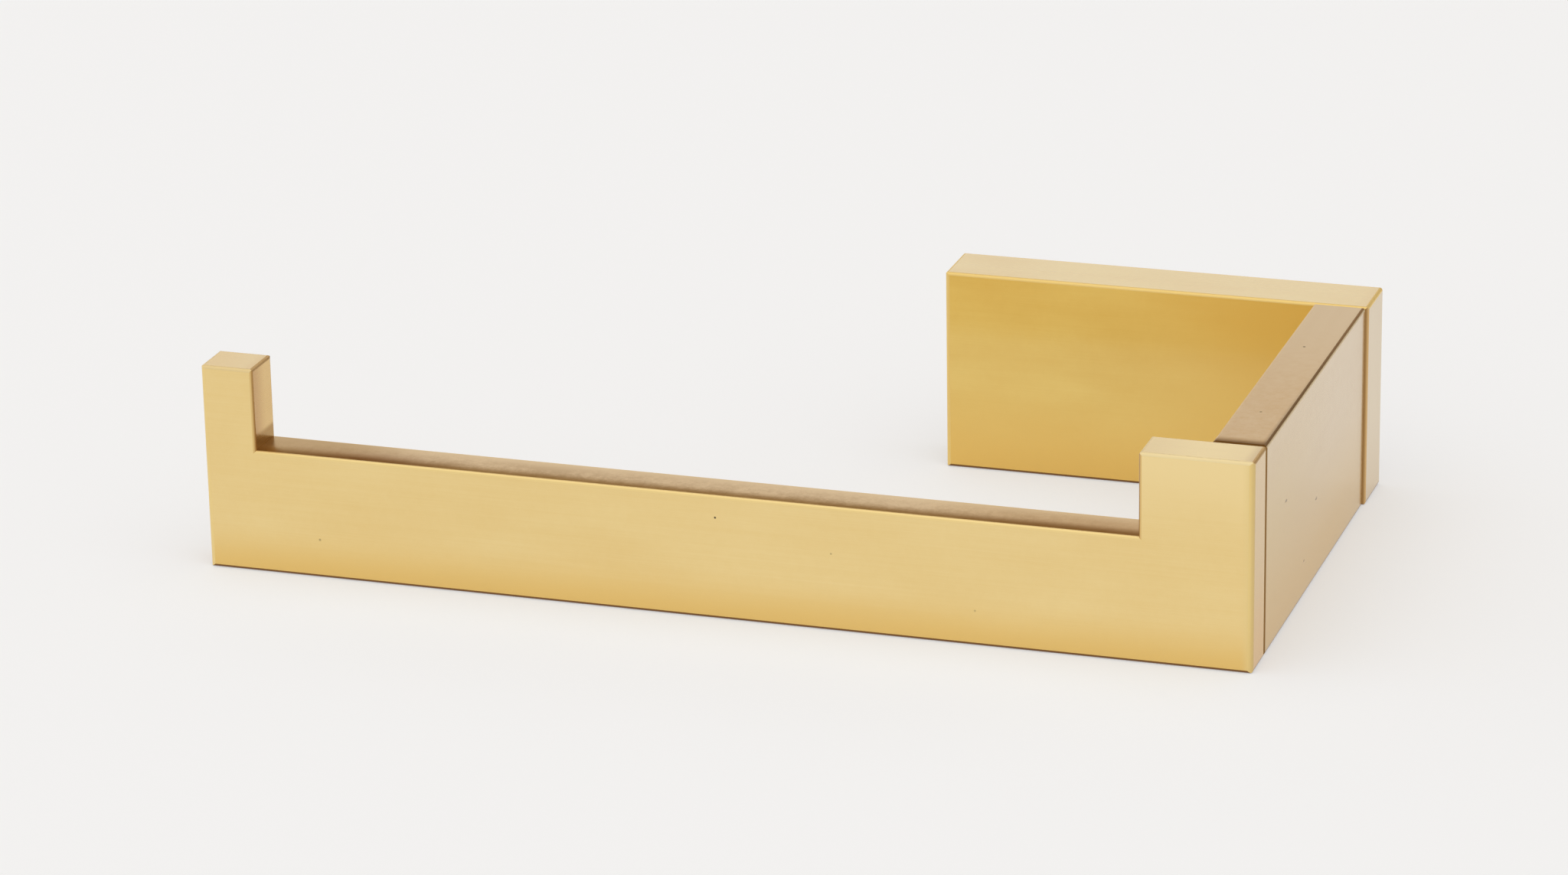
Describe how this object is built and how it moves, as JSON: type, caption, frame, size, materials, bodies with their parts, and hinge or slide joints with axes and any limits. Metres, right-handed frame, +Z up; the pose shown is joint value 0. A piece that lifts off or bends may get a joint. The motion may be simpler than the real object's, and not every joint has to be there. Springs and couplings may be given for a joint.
{
  "type": "toilet paper holder",
  "caption": "Open-ended toilet paper holder: a notched brass bar on a side arm and a wall plate that hooks over a hidden bracket.",
  "frame": {"origin": "the middle of the wall plate's back, on the wall", "axes": "+Z up, +Y into the wall, +X along the bar towards the arm, so the holder stands out along -Y and the bar's open end is at -X"},
  "size_m": [0.1765, 0.089, 0.035],
  "materials": {
    "bar_brass": "fine horizontal brushing, satin",
    "arm_brass": "satin, finely bead blasted",
    "plate_brass": "fine horizontal brushing, satin",
    "bracket_steel": "tumbled stainless steel",
    "fastener_steel": "turned stainless steel",
    "spring_steel": "plain spring steel",
    "pin_steel": "ground steel",
    "set_screw_steel": "turned stainless steel"
  },
  "bodies": {
    "root": {"front_bar": "bar_brass", "side_arm": "arm_brass", "wall_plate": "plate_brass", "wall_bracket": "bracket_steel", "tie_screw_upper": "fastener_steel", "tie_screw_lower": "fastener_steel", "spring_washer_upper": "spring_steel", "spring_washer_lower": "spring_steel", "front_pin_upper": "pin_steel", "front_pin_lower": "pin_steel", "rear_pin_upper": "pin_steel", "rear_pin_lower": "pin_steel", "set_screw_left": "set_screw_steel", "set_screw_right": "set_screw_steel"}
  },
  "joints": []
}
